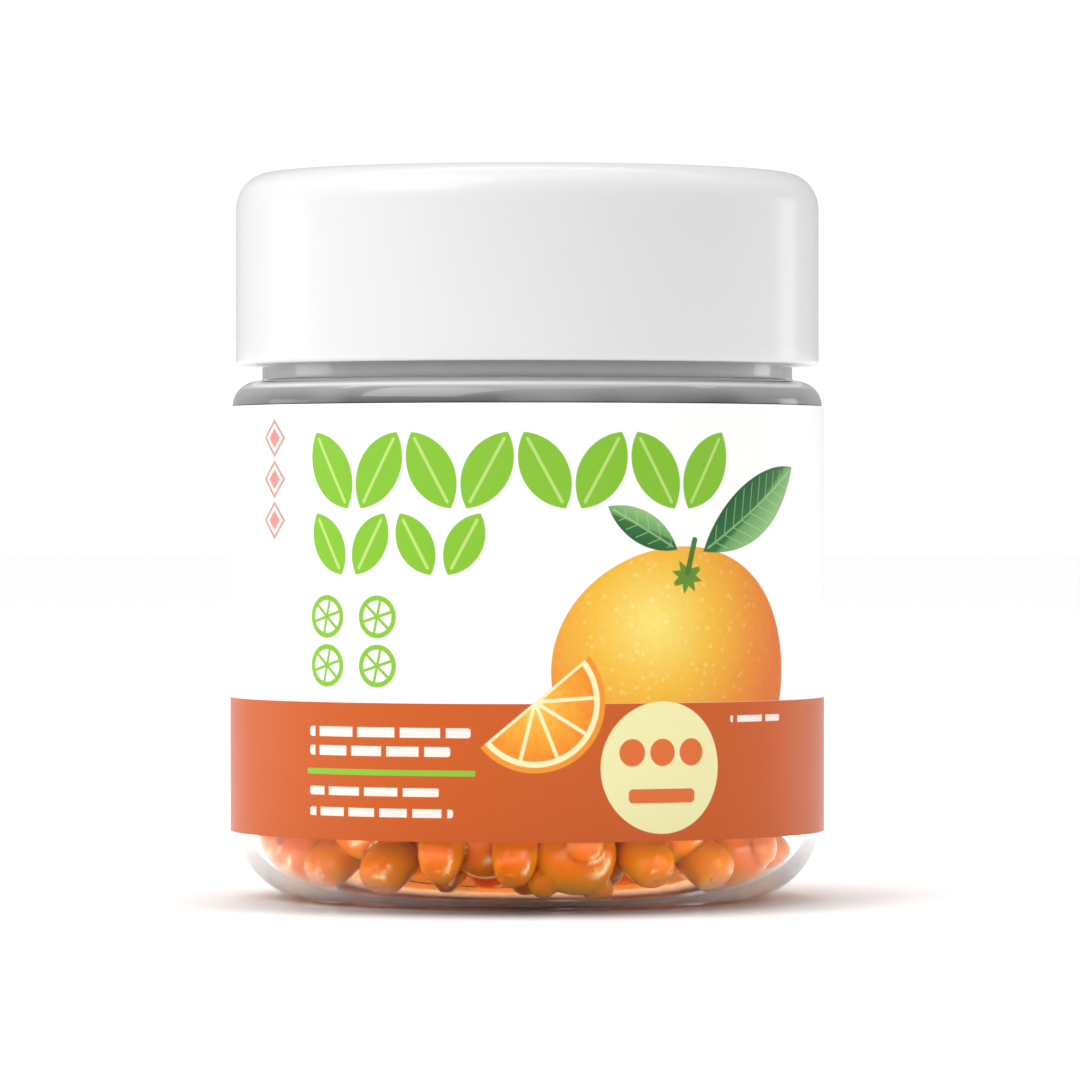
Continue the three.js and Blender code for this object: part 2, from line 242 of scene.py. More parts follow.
class Tree:
    """One material, or the surround, and the nodes it is made of."""

    def __init__(self, name, kind="materials"):
        self.owner = getattr(bpy.data, kind).new(name)
        self.owner.use_nodes = True
        self.nodes = self.owner.node_tree.nodes
        self.links = self.owner.node_tree.links
        self.nodes.clear()

    def node(self, kind, settings=None, sockets=None):
        """A node of that type: its settings first, then each socket's value or link."""
        node = self.nodes.new(kind)
        for name, value in (settings or {}).items():
            setattr(node, name, value)
        for name, value in (sockets or {}).items():
            self.feed(node.inputs[name], value)
        return node

    def feed(self, socket, value):
        source = value.socket if isinstance(value, Num) else value
        if isinstance(source, bpy.types.NodeSocket):
            self.links.new(source, socket)
        elif isinstance(source, tuple) and socket.type == "RGBA" and len(source) == 3:
            socket.default_value = (*source, 1.0)
        else:
            socket.default_value = source

    def maths(self, operation, *values):
        node = self.node("ShaderNodeMath", {"operation": operation}, dict(enumerate(values)))
        return Num(self, node.outputs[0])

    def mix(self, share, first, second):
        """The colour first where share is 0 and second where it is 1."""
        sockets = {0: share, 6: first, 7: second}
        return self.node("ShaderNodeMix", {"data_type": "RGBA"}, sockets).outputs[2]

    def ramp(self, value, *stops):
        """A colour that runs through (place, colour) stops as value goes from 0 to 1."""
        node = self.nodes.new("ShaderNodeValToRGB")
        elements = node.color_ramp.elements
        while len(elements) < len(stops):
            elements.new(0.5)
        for element, (place, colour) in zip(elements, stops):
            element.position = place
            element.color = (*colour, 1.0)
        self.feed(node.inputs[0], value)
        return node.outputs[0]

    def at_object(self):
        return self.node("ShaderNodeTexCoord").outputs["Object"]

    def split(self, vector):
        """A vector's three numbers."""
        node = self.node("ShaderNodeSeparateXYZ", None, {0: vector})
        return [Num(self, output) for output in node.outputs]

    def noise(self, vector, scale, detail):
        """A noise number around 0.5, scale cells to the metre."""
        sockets = {"Vector": vector, "Scale": scale, "Detail": detail}
        return Num(self, self.node("ShaderNodeTexNoise", None, sockets).outputs[0])

    def attribute(self, name):
        node = self.node("ShaderNodeAttribute", {"attribute_name": name})
        return Num(self, node.outputs["Fac"])

    def bump(self, height, strength, depth):
        """A bump normal of a height number. depth is in metres."""
        sockets = {"Height": height, "Strength": strength, "Distance": depth}
        return self.node("ShaderNodeBump", None, sockets).outputs[0]

    def finish(self, **values):
        """The Principled shader with these inputs, named with _ for a space, as the surface."""
        sockets = {name.replace("_", " "): value for name, value in values.items()}
        shader = self.node("ShaderNodeBsdfPrincipled", None, sockets)
        output = self.node("ShaderNodeOutputMaterial")
        self.links.new(shader.outputs[0], output.inputs["Surface"])
        return self.owner


# ---------------------------------------------------------------- meshes


def arc(cr, cz, run, rise, start, end, steps):
    """(cr + run cos t, cz + rise sin t) for t from start to end, both ends in."""
    t = np.linspace(start, end, steps + 1)
    return np.column_stack([cr + run * np.cos(t), cz + rise * np.sin(t)])


def with_straights(points, longest=1.6):
    """The same path, with points added on its straight stretches so that none is longer than longest."""
    out = [points[:1]]
    for a, b in zip(points[:-1], points[1:]):
        count = max(1, int(np.ceil(np.linalg.norm(b - a) / longest)))
        share = np.linspace(0, 1, count + 1)[1:, None]
        out.append(a + (b - a) * share)
    return np.vstack(out)


def build_mesh(name, verts_mm, faces, materials, uv=None, face_slots=None):
    """A smooth-shaded object of vertices in millimetres and faces given as quad and triangle arrays."""
    mesh = bpy.data.meshes.new(name)
    loops = np.concatenate([f.ravel() for f in faces]).astype(np.int32)
    totals = np.concatenate([np.full(len(f), f.shape[1]) for f in faces]).astype(np.int32)
    starts = np.concatenate([[0], np.cumsum(totals)[:-1]]).astype(np.int32)
    mesh.vertices.add(len(verts_mm))
    mesh.vertices.foreach_set("co", (np.asarray(verts_mm, dtype=np.float32) * MM).ravel())
    mesh.loops.add(len(loops))
    mesh.loops.foreach_set("vertex_index", loops)
    mesh.polygons.add(len(totals))
    mesh.polygons.foreach_set("loop_start", starts)
    mesh.polygons.foreach_set("loop_total", totals)
    if uv is not None:
        layer = mesh.uv_layers.new(name="Print")
        layer.data.foreach_set("uv", uv[loops].astype(np.float32).ravel())
    for material in materials:
        mesh.materials.append(material)
    if face_slots is not None:
        mesh.polygons.foreach_set("material_index", face_slots.astype(np.int32))
    mesh.update(calc_edges=True)
    mesh.validate()
    mesh.shade_smooth()
    piece = bpy.data.objects.new(name, mesh)
    bpy.context.scene.collection.objects.link(piece)
    return piece


def turned(name, profile, sides, materials, face_slot=None):
    """The surface (r cos a, r sin a, z) of a profile (r, z) that starts and ends on the axis. face_slot
    gives the material's number for the middle (r, z) of each of the profile's stretches."""
    ring = profile[1:-1]
    a = np.linspace(0, 2 * np.pi, sides, endpoint=False)
    r, z = ring[:, :1], ring[:, 1:]
    grid = np.stack([r * np.cos(a), r * np.sin(a), z + 0 * a], axis=-1).reshape(-1, 3)
    poles = np.array([[0, 0, profile[0, 1]], [0, 0, profile[-1, 1]]])
    first, last = len(grid), len(grid) + 1
    row, col = np.meshgrid(np.arange(len(ring) - 1), np.arange(sides), indexing="ij")
    here, over = row * sides + col, row * sides + (col + 1) % sides
    quads = np.stack([here, over, over + sides, here + sides], axis=-1).reshape(-1, 4)
    c = np.arange(sides)
    d = (c + 1) % sides
    top = (len(ring) - 1) * sides
    fans = np.vstack(
        [
            np.column_stack([np.full(sides, first), d, c]),
            np.column_stack([np.full(sides, last), top + c, top + d]),
        ]
    )
    slots = None
    if face_slot:
        middle = (ring[1:] + ring[:-1]) / 2
        rows = face_slot(middle[:, 0], middle[:, 1])
        slots = np.concatenate([np.repeat(rows, sides), np.zeros(len(fans), dtype=int)])
    return build_mesh(name, np.vstack([grid, poles]), [quads, fans], materials, face_slots=slots)


def dress(piece, node):
    """The piece stands for a CAD node, which it hides, and rides on the only body."""
    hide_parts(node)
    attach(piece, "root")


# ---------------------------------------------------------------- jar and cap


def jar_profile():
    """The jar's section: the foot with its push-up, the outside corner, wall, shoulder and neck, and
    then the inside."""
    c, n, m = FOOT_CORNER, NECK_FILLET, RIM_ROUND
    neck_z = SHOULDER_Z + SHOULDER_RISE + n
    inner_run = INNER_R - NECK_INNER_R
    parts = [
        np.array([[0, DENT_RISE], [DENT_R, DENT_RISE]]),
        arc(DENT_R, 0.0, DENT_RUN, DENT_RISE, QUARTER, 0, 8),
        arc(JAR_R - c, c, c, c, -QUARTER, 0, 28),
        arc(JAR_R - SHOULDER_RUN, SHOULDER_Z, SHOULDER_RUN, SHOULDER_RISE, 0, QUARTER, 16),
        arc(NECK_R + n, neck_z, n, n, -QUARTER, -2 * QUARTER, 4),
        arc(NECK_R - m, RIM_Z - m, m, m, 0, QUARTER, 6),
        arc(NECK_INNER_R + m, RIM_Z - m, m, m, QUARTER, 2 * QUARTER, 6),
        arc(NECK_INNER_R, INNER_SHOULDER_Z, inner_run, INNER_SHOULDER_RISE, QUARTER, 0, 14),
        arc(INNER_R - INNER_RUN, FLOOR_Z + INNER_RISE, INNER_RUN, INNER_RISE, 0, -QUARTER, 26),
        np.array([[0, FLOOR_Z]]),
    ]
    return with_straights(np.vstack(parts))


def cap_profile():
    """The cap's section, from under its top plate, down inside, round the rim and up to the crown."""
    flat_r = CAP_R - CAP_CORNER_RUN
    across = np.linspace(flat_r, 0, 12)[1:]
    crown = np.column_stack([across, CAP_TOP - CAP_CROWN * (across / flat_r) ** 2])
    c, a, b = CAP_INNER_CORNER, CAP_LIP_IN, CAP_LIP_OUT
    parts = [
        np.array([[0, CAP_PLATE_Z], [CAP_INNER_R - c, CAP_PLATE_Z]]),
        arc(CAP_INNER_R - c, CAP_PLATE_Z - c, c, c, QUARTER, 0, 6),
        arc(CAP_INNER_R + a, CAP_LOW + a, a, a, -2 * QUARTER, -QUARTER, 4),
        arc(CAP_R - b, CAP_LOW + b, b, b, -QUARTER, 0, 5),
        arc(flat_r, CAP_CORNER_Z, CAP_CORNER_RUN, CAP_CORNER_RISE, 0, QUARTER, 24),
        crown,
    ]
    return with_straights(np.vstack(parts))


def clear_plastic(finishes):
    """Thick clear plastic, a little grey, with shade painted on its foot, darkest at the foot's edges
    where they face away, and a faint waviness.
    """
    tree = Tree("clear_plastic")
    place = tree.at_object()
    wave = tree.noise(place, 60.0, 1.0)
    z = tree.split(place)[2]
    above = ((z / MM - FOOT_SHADE_Z) / 2.0).clamped()
    tint = tuple(finishes.jar_tint)
    weight = tree.node("ShaderNodeLayerWeight", None, {"Blend": 0.5})
    edge = Num(tree, weight.outputs["Facing"]) ** 4
    # painted shade: low on the foot the tint is darker, most of all at its grazing edges
    foot = tree.mix(edge * (1 - above) * 0.6, dimmed(tint, 0.87), dimmed(tint, 0.4))
    return tree.finish(
        Base_Color=tree.mix(above, foot, tint),
        Roughness=0.02,
        IOR=1.4,
        Specular_Tint=(0.3, 0.3, 0.3),
        Transmission_Weight=1.0,
        Normal=tree.bump(wave, 0.05, 0.0008),
    )


def satin_plastic():
    """The moulded shoulder and neck: the same plastic, misty, with greys by height that paint its shade,
    paler upwards but darkest at the label's top and a little darker under the cap, a painted highlight
    line at the shoulder's top, upright streaks that paint reflections, and a shine over it."""
    tree = Tree("satin_plastic")
    place = tree.at_object()
    x, y, z = tree.split(place)
    upright = tree.node("ShaderNodeCombineXYZ", None, {0: x, 1: y, 2: z * 0.1}).outputs[0]
    # painted reflections: upright streaks, strongest low on the shoulder
    reflection_streak = tree.noise(upright, 75.0, 1.0)
    mist = tree.noise(place, 120.0, 2.0)
    rise = ((z / MM - SATIN_Z) / 5.0).clamped()
    # painted shade and a painted highlight line, by height
    tone = tree.ramp(rise, *((at, (grey,) * 3) for at, grey in NECK_SHADE_AND_HIGHLIGHT))
    reflection_and_mist = ((reflection_streak - 0.5) * 2.4 * (1 - rise) + mist * 0.1).clamped()
    return tree.finish(
        Base_Color=tree.mix(reflection_and_mist, tone, (0.5, 0.5, 0.5)),
        Roughness=0.22 + 0.06 * mist,
        IOR=1.5,
        Coat_Weight=1.0,
        Coat_Roughness=0.05,
        Normal=tree.bump(mist, 0.1, 0.0004),
    )


def cap_plastic(finishes):
    """Smooth white moulded plastic: a fine skin, faint flow marks, a sheen and shade painted on its top,
    which is slightly greyer.
    """
    tree = Tree("white_cap_plastic")
    place = tree.at_object()
    skin = tree.noise(place, 1200.0, 2.0)
    flow = tree.noise(place, 45.0, 3.0)
    colour = tuple(finishes.cap_colour)
    # painted shade: the top is greyer than the sides
    top = ((tree.split(place)[2] / MM - CAP_TOP_SHADE_Z) / 1.8).clamped()
    return tree.finish(
        Base_Color=tree.mix(top, tree.mix(flow, colour, dimmed(colour, 0.94)), dimmed(colour, 0.78)),
        Roughness=0.19 + 0.04 * flow,
        IOR=1.4,
        Normal=tree.bump(skin, 0.02, 0.0001),
        Coat_Weight=0.1,
        Coat_Roughness=0.08,
    )


# ---------------------------------------------------------------- label


class Print:
    """Places colours one over another on the label, in millimetres along it (u) and up it (z)."""

    soft = 0.09  # width of a printed edge

    def __init__(self, tree):
        self.tree = tree
        spot = tree.split(tree.node("ShaderNodeUVMap", {"uv_map": "Print"}).outputs[0])
        half = math.pi * LABEL_OUT
        self.u = spot[0] * (2 * half) - half
        self.z = spot[1] * (LABEL_HIGH - LABEL_LOW) + LABEL_LOW
        self.colour = srgb(252, 252, 251)

    def edge(self, depth):
        """1 where depth, in millimetres inside a shape, is over 0, with a soft edge."""
        return (depth / self.soft + 0.5).clamped()

    def lay(self, mask, colour):
        self.colour = self.tree.mix(mask, self.colour, colour)

    def about(self, u, z, turn=0.0):
        """The place about (u, z), turned by an angle."""
        du, dz = self.u - u, self.z - z
        if not turn:
            return du, dz
        c, s = math.cos(turn), math.sin(turn)
        return du * c + dz * s, dz * c - du * s

    @staticmethod
    def length(a, b):
        return (a * a + b * b).root()

    def disc(self, u, z, radius, tall=1.0):
        """How far inside a disc of that radius, or of an ellipse that is tall times as high."""
        du, dz = self.about(u, z)
        return radius - self.length(du, dz / tall)

    def box(self, du, dz, half_u, half_z, corner):
        """How far inside a box with round corners, about its middle."""
        a = abs(du) - (half_u - corner)
        b = abs(dz) - (half_z - corner)
        return corner - self.length(a.high(0.0), b.high(0.0)) - a.high(b).low(0.0)

    def leaf(self, a, b, half_long, half_wide):
        """How far inside a lens of two arcs with its points at b = -half_long and half_long."""
        radius = (half_long**2 + half_wide**2) / (2 * half_wide)
        return radius - self.length(abs(a) + (radius - half_wide), b)

    def line(self, u0, u1, z, half, pitch, shift):
        """A row of dashes from u0 to u1 at height z, with a gap at each pitch."""
        du, dz = self.about((u0 + u1) / 2, z)
        whole = self.box(du, dz, (u1 - u0) / 2, half, half * 0.6)
        gap = abs((self.u + shift) % pitch - pitch / 2) - 0.32
        return whole.low(gap)


def green_leaf_rows(p):
    """Two rows of leaning leaves in the headline's place."""
    green, pale = srgb(130, 190, 45), srgb(196, 224, 128)
    for u0, count, z, pitch, long in ((-25.6, 8, 46.7, 6.1, 4.6), (-25.6, 4, 38.9, 5.4, 3.7)):
        shift = p.u - u0
        cell = (shift / pitch).floor()
        lean = 1 - 2 * (cell % 2.0)
        c, s = math.cos(0.5), math.sin(0.5)
        du, dz = shift % pitch - pitch / 2, p.z - z
        a, b = du * c + lean * dz * s, dz * c - lean * du * s
        inside = p.leaf(a, b, long, long * 0.54)
        row = p.box(shift - pitch * count / 2, dz, pitch * count / 2, long + 1, 0.1)
        p.lay(p.edge(inside.low(row)), green)
        rib = 0.17 - abs(a)
        p.lay(p.edge(rib.low(inside - 0.5).low(row)) * 0.8, pale)


def green_slices(p):
    """Four small green fruit slices in two rows: a ring with spokes."""
    green = srgb(132, 190, 50)
    for u in (-23.2, -16.6):
        for z in (31.2, 26.0):
            du, dz = p.about(u, z)
            away = p.length(du, dz)
            ring = 0.28 - abs(away - 2.0)
            spokes = None
            for k in range(3):
                turn = math.pi * k / 3 + 0.3
                across = 0.17 - abs(du * math.sin(turn) - dz * math.cos(turn))
                spokes = across if spokes is None else spokes.high(across)
            p.lay(p.edge(ring.high(spokes.low(1.9 - away))), green)


def red_diamonds(p):
    """Three red diamonds, one over another, near the left edge."""
    for z in (50.2, 45.8, 41.4):
        du, dz = p.about(-32.0, z)
        inside = 2.1 - abs(du) - abs(dz)
        rim = inside.low(0.5 - inside)
        p.lay(p.edge(rim.high(inside - 1.0)) * 0.8, srgb(200, 84, 62))


def whole_fruit(p, place):
    """A round orange with a pitted skin, a calyx and two leaves, above the band."""
    tree = p.tree
    u, z, radius, tall = 17.4, 25.4, 14.9, 0.89
    above = p.z - BAND_TOP
    inside = p.disc(u, z, radius, tall)
    du, dz = p.about(u, z)
    glow = (1 - p.length(du + 3.6, dz - 5.2) / 17.5).clamped()
    pits = tree.noise(place, 1500.0, 1.0)
    skin = tree.ramp(
        glow + (pits - 0.5) * 0.1,
        (0.0, srgb(222, 112, 40)),
        (0.28, srgb(232, 146, 44)),
        (0.6, srgb(241, 186, 55)),
        (1.0, srgb(247, 226, 118)),
    )
    p.lay(p.edge(inside.low(above)), skin)
    sparkle = tree.node("ShaderNodeTexVoronoi", {"feature": "F1"}, {"Vector": place, "Scale": 900.0})
    spark = (0.3 - Num(tree, sparkle.outputs[0])).clamped() * 2 * glow
    p.lay(p.edge(inside.low(above) - 0.4) * spark, srgb(252, 240, 190))
    for lean in (-1.0, -0.2, 0.55, 1.3, 2.0):
        a, b = p.about(u + 0.4, z + 10.1, lean)
        p.lay(p.edge(p.leaf(a, b, 1.9, 0.5)), srgb(96, 140, 40))
    a, b = p.about(u + 0.9, z + 12.2, -0.25)
    p.lay(p.edge(p.box(a, b, 0.33, 2.1, 0.3)), srgb(74, 118, 44))
    for cu, cz, turn, long, wide in ((27.2, 42.6, -1.02, 8.6, 3.0), (12.6, 40.6, 1.05, 4.6, 1.7)):
        a, b = p.about(cu, cz, turn)
        leaf = p.leaf(a, b, long, wide)
        share = (a / wide * 0.5 + 0.5 + b / long * 0.18).clamped()
        tone = tree.ramp(
            share,
            (0.0, srgb(28, 92, 46)),
            (0.48, srgb(46, 112, 58)),
            (0.56, srgb(104, 162, 92)),
            (1.0, srgb(148, 192, 128)),
        )
        p.lay(p.edge(leaf), tone)
        veins = 0.07 - abs((b - abs(a) * 0.8) % 1.5 - 0.75)
        rib = (0.11 - abs(a)).high(veins)
        p.lay(p.edge(rib.low(leaf - 0.35)) * 0.55, srgb(176, 210, 150))


def cut_wedge(p, place, u, z, radius, segments, turn):
    """Half a slice of orange, its straight edge turned up by an angle: rind, pith and segments."""
    tree = p.tree
    along, over = p.about(u, z, turn)
    side = -over
    away = p.length(along, over)
    pulp = tree.noise(place, 1300.0, 2.0)
    p.lay(p.edge((radius - away).low(side)), srgb(238, 146, 36))
    p.lay(p.edge((radius * 0.92 - away).low(side)), srgb(252, 236, 184))
    angle = tree.maths("ARCTAN2", side, along)
    step = math.pi / segments
    off = abs(angle % step - step / 2)
    gap = (step / 2 - off) * away - 0.12 - radius * 0.01
    flesh = gap.low(radius * 0.84 - away).low(away - radius * 0.1).low(side - 0.3)
    tone = tree.ramp(
        away / radius + (pulp - 0.5) * 0.5,
        (0.1, srgb(247, 190, 74)),
        (0.5, srgb(243, 160, 38)),
        (0.9, srgb(236, 134, 28)),
    )
    p.lay(p.edge(flesh), tone)


def badge(p):
    """A pale round badge with three discs over a bar."""
    orange, middle, gap = srgb(222, 108, 46), 14.8, 3.5
    p.lay(p.edge(p.disc(middle, 15.3, 7.0)), srgb(238, 232, 174))
    for u in (middle - gap, middle, middle + gap):
        p.lay(p.edge(p.disc(u, 16.9, 1.45)), orange)
    du, dz = p.about(middle, 12.3)
    p.lay(p.edge(p.box(du, dz, 3.9, 0.75, 0.5)), orange)


def small_lines(p):
    """Rows of plain dashes in place of the small words on the band, and a green line."""
    pale, green = srgb(250, 236, 228), srgb(130, 193, 50)
    rows = (  # from, to, height, half thickness, pitch, shift
        (-25.7, -6.0, 19.0, 0.52, 5.2, 1.2),
        (-25.7, -8.2, 17.0, 0.52, 4.4, 0.4),
        (-25.7, -9.4, 12.7, 0.45, 4.7, 2.1),
        (-25.7, -7.9, 10.5, 0.45, 3.9, 3.0),
        (23.6, 31.8, 20.3, 0.35, 4.6, 1.0),
    )
    for u0, u1, z, half, pitch, shift in rows:
        p.lay(p.edge(p.line(u0, u1, z, half, pitch, shift)) * 0.95, pale)
    du, dz = p.about(-15.8, 14.75)
    p.lay(p.edge(p.box(du, dz, 10.3, 0.3, 0.1)), green)


def back_panel(p):
    """A thin green frame with rows of grey dashes on each side of the seam."""
    middle_u, middle_z, half_u, half_z = 78.0, 37.5, 15.0, 12.6
    side = abs(p.u) - middle_u
    back = -side
    frame_depth = p.box(side, p.z - middle_z, half_u, half_z, 1.2)
    p.lay(p.edge(0.16 - abs(frame_depth - 0.3)), srgb(130, 190, 50))
    row = (p.z - 26.0) % 2.6 - 1.3
    dash = (0.42 - abs(row)).low(abs((back + p.z * 0.37) % 6.1 - 3.05) - 0.4).low(frame_depth - 2.0)
    p.lay(p.edge(dash) * 0.7, srgb(120, 124, 118))


def printed_paper(finishes):
    """The label's face: an even coating, its print, a satin sheen and faint paper relief."""
    tree = Tree("label_print")
    place = tree.at_object()
    p = Print(tree)
    whole_fruit(p, place)
    p.lay(p.edge(BAND_TOP - p.z), tuple(finishes.band_colour))
    cut_wedge(p, place, 0.8, 22.3, 7.5, 5, math.radians(40))
    green_leaf_rows(p)
    green_slices(p)
    red_diamonds(p)
    badge(p)
    small_lines(p)
    back_panel(p)
    fibre = tree.noise(place, 1800.0, 3.0)
    cloud = tree.noise(place, 35.0, 2.0)
    return tree.finish(
        Base_Color=tree.mix(cloud * 0.04, p.colour, srgb(225, 222, 216)),
        Roughness=0.3 + 0.08 * fibre,
        IOR=1.27,
        Normal=tree.bump(fibre, 0.05, 0.0001),
    )


def bare_paper():
    """The label's back and edges: plain white paper with a little fibre."""
    tree = Tree("label_back")
    fibre = tree.noise(tree.at_object(), 2200.0, 4.0)
    return tree.finish(
        Base_Color=tree.mix(fibre, srgb(246, 245, 242), srgb(226, 225, 220)),
        Roughness=0.6 + 0.2 * fibre,
        Normal=tree.bump(fibre, 0.2, 0.0001),
    )


def label_piece(finishes):
    """The band (r cos a, r sin a, z): a thin closed strip carried round from one side of the seam to
    the other."""
    columns, rows = 361, 24
    a = np.linspace(QUARTER + SEAM / 2, QUARTER + 2 * np.pi - SEAM / 2, columns)
    z = np.linspace(LABEL_LOW, LABEL_HIGH, rows)
    r_loop = np.concatenate([np.full(rows, LABEL_OUT), np.full(rows, LABEL_IN)])
    z_loop = np.concatenate([z, z[::-1]])
    grid = np.stack(
        [
            r_loop[None] * np.cos(a)[:, None],
            r_loop[None] * np.sin(a)[:, None],
            z_loop[None] + 0 * a[:, None],
        ],
        axis=-1,
    )
    around = (a - 1.5 * np.pi)[:, None] + 0 * z_loop[None]
    along = 0.5 + around / (2 * np.pi)
    up = (z_loop[None] - LABEL_LOW) / (LABEL_HIGH - LABEL_LOW) + 0 * a[:, None]
    uv = np.stack([along, up], axis=-1).reshape(-1, 2)
    n = 2 * rows
    col, k = np.meshgrid(np.arange(columns - 1), np.arange(n), indexing="ij")
    here, up_one = col * n + k, col * n + (k + 1) % n
    quads = np.stack([here, here + n, up_one + n, up_one], axis=-1).reshape(-1, 4)
    front = (k < rows - 1).ravel()
    i = np.arange(rows - 1)
    start = np.column_stack([i, i + 1, n - 2 - i, n - 1 - i])
    end = (columns - 1) * n + start[:, ::-1]
    faces = np.vstack([quads, start, end])
    slots = np.concatenate([np.where(front, 0, 1), np.ones(2 * (rows - 1))])
    piece = build_mesh(
        "wrap_label", grid.reshape(-1, 3), [faces], [printed_paper(finishes), bare_paper()], uv, slots
    )
    piece.data.set_sharp_from_angle(angle=LABEL_SHARP)
    return piece


# ---------------------------------------------------------------- gummies


def seeded(seed):
    """Even draws from 0 to 1 that come out the same each time."""
    state = seed
    while True:
        state = (state * 16807) % 2147483647
        yield state / 2147483647


def unit(v):
    return v / np.sqrt((v * v).sum(axis=-1, keepdims=True))


def first_poses():
    """Centres (n, 3) and axes (n, 3, 3) of the pieces before they settle. The rows of axes are x, y and
    z. The first RING pieces stand round the wall, on their feet or their heads, and the others fall on
    them."""
    draw = seeded(SEED)
    spread = lambda: 2 * next(draw) - 1
    draws = lambda count: np.array([spread() for _ in range(count)])
    centres, axes = [], []
    for i in range(PIECES):
        if i < RING:
            angle = 2 * np.pi * (i + 0.35 * spread()) / RING
            spot = np.array([np.cos(angle), np.sin(angle)]) * RING_R
            z = np.array([LEAN * spread(), LEAN * spread(), -1.0 if next(draw) < HEAD_DOWN else 1.0])
            height = RING_Z
        else:
            spot = np.array([1.0, 1.0])
            while (spot**2).sum() > 1:
                spot = draws(2)
            spot = spot * DROP_R
            z = np.zeros(3)
            while (z**2).sum() < 0.05 or (z**2).sum() > 1:
                z = draws(3)
            height = DROP_BASE + DROP_STEP * i
        z = unit(z)
        y = unit(np.array([-spot[0], -spot[1], 0.0])) + TURN_SPREAD * draws(3)
        y = unit(y - z * (y * z).sum())
        centres.append([*spot, height])
        axes.append([np.cross(y, z), y, z])
    return np.array(centres), np.array(axes)


def wall_push(p, r):
    """How far balls of radius r at p are pushed by the jar's wall, its rounded corner and its floor."""
    room_r, floor = INNER_R + WALL_PRESS, FLOOR_Z - FLOOR_PRESS
    away = np.sqrt(p[..., 0] ** 2 + p[..., 1] ** 2)
    dr, dz = away - (room_r - HEAP_CORNER), p[..., 2] - (floor + HEAP_CORNER)
    in_corner = (dr > 0) & (dz < 0)
    d = np.sqrt(dr**2 + dz**2)
    over = np.maximum(d + r - HEAP_CORNER, 0)
    safe_d, safe_away = np.maximum(d, 1e-9), np.maximum(away, 1e-9)
    x, y = p[..., 0], p[..., 1]
    curl = -over * dr / safe_d
    curved = np.stack([curl * x / safe_away, curl * y / safe_away, -over * dz / safe_d], axis=-1)
    wide = np.maximum(away + r - room_r, 0)
    up = np.maximum(floor + r - p[..., 2], 0)
    flat = np.stack([-wide * x / safe_away, -wide * y / safe_away, up], axis=-1)
    return np.where(in_corner[..., None], curved, flat)


def settled_poses():
    """Each step moves and turns every piece out of what it overlaps and lets it sink a little."""
    centres, axes = first_poses()
    owner = np.repeat(np.arange(PIECES), len(BALLS))
    radius = np.tile(BALLS[:, 3], PIECES)
    i, j = np.nonzero(np.triu(owner[:, None] != owner[None], 1))
    reach = radius[i] + radius[j]
    for step in range(SETTLE_STEPS):
        weight = WEIGHT if step < SETTLE_STEPS - CALM_STEPS else CALM_WEIGHT
        arms = np.einsum("bk,nkc->nbc", BALLS[:, :3], axes)
        p = (centres[:, None] + arms).reshape(-1, 3)
        push = wall_push(p, radius)
        apart = p[i] - p[j]
        d2 = (apart**2).sum(axis=1)
        hit = (d2 < reach**2) & (d2 > 1e-9)
        d = np.sqrt(d2[hit])
        force = apart[hit] * (0.5 * (reach[hit] - d) / d)[:, None]
        np.add.at(push, i[hit], force)
        np.add.at(push, j[hit], -force)
        push = push.reshape(PIECES, -1, 3)
        outward = unit(centres * [1, 1, 0]) * (centres[:, 2:] < SPREAD_TOP)
        centres = centres + RELAX * push.sum(axis=1) + SPREAD * outward - [0, 0, weight]
        turn = np.cross(arms, push).sum(axis=1) * (RELAX / TURN_ARM2)
        z = unit(axes[:, 2] + np.cross(turn, axes[:, 2]))
        y = axes[:, 1] + np.cross(turn, axes[:, 1])
        y = unit(y - z * (y * z).sum(axis=1, keepdims=True))
        axes = np.stack([np.cross(y, z), y, z], axis=1)
    return centres, axes


def both(lobe):
    """A lobe and its mirror image."""
    return lobe, (-lobe[0], *lobe[1:])


LOBES = (TORSO, HEAD, SNOUT, *both(EAR), *both(ARM), *both(LEG))


def ellipsoid_depth(p, lobe, power=2.0):
    """A distance to a lobe's skin, negative inside: k0 (k0 - 1) / k1 of the scaled place."""
    q = (p - np.array(lobe[:3])) / np.array(lobe[3:])
    k0 = (np.abs(q) ** power).sum(axis=-1) ** (1 / power)
    k1 = np.sqrt(((q / np.array(lobe[3:])) ** 2).sum(axis=-1))
    return k0 * (k0 - 1) / np.maximum(k1, 1e-6)


def blend(a, b, k):
    """The smaller of two distances, with a fillet of about k where they meet."""
    h = np.clip(0.5 + 0.5 * (b - a) / k, 0, 1)
    return b + (a - b) * h - k * h * (1 - h)


def figure_depth(p):
    """The distance to a whole piece: lobes filleted together, eyes, nose, belly and the pads of the
    limbs added, the ears hollowed and the back cut flat."""
    d = blend(ellipsoid_depth(p, TORSO), ellipsoid_depth(p, HEAD), 0.7)
    d = blend(d, ellipsoid_depth(p, BELLY), 0.5)
    for lobe in both(EAR):
        d = blend(d, ellipsoid_depth(p, lobe), 0.45)
    for lobe in both(EAR_HOLLOW):
        d = -blend(-d, ellipsoid_depth(p, lobe), 0.35)
    d = blend(d, ellipsoid_depth(p, SNOUT), 0.3)
    d = blend(d, ellipsoid_depth(p, NOSE), 0.2)
    for lobe in both(EYE):
        d = blend(d, ellipsoid_depth(p, lobe), 0.2)
    for lobe in both(ARM) + both(LEG):
        d = blend(d, ellipsoid_depth(p, lobe, 2.2), 0.3)
    for lobe in both(LEG_PAD) + both(ARM_PAD):
        d = blend(d, ellipsoid_depth(p, lobe), 0.12)
    return np.maximum(d, p[..., 1] - BACK_Y)


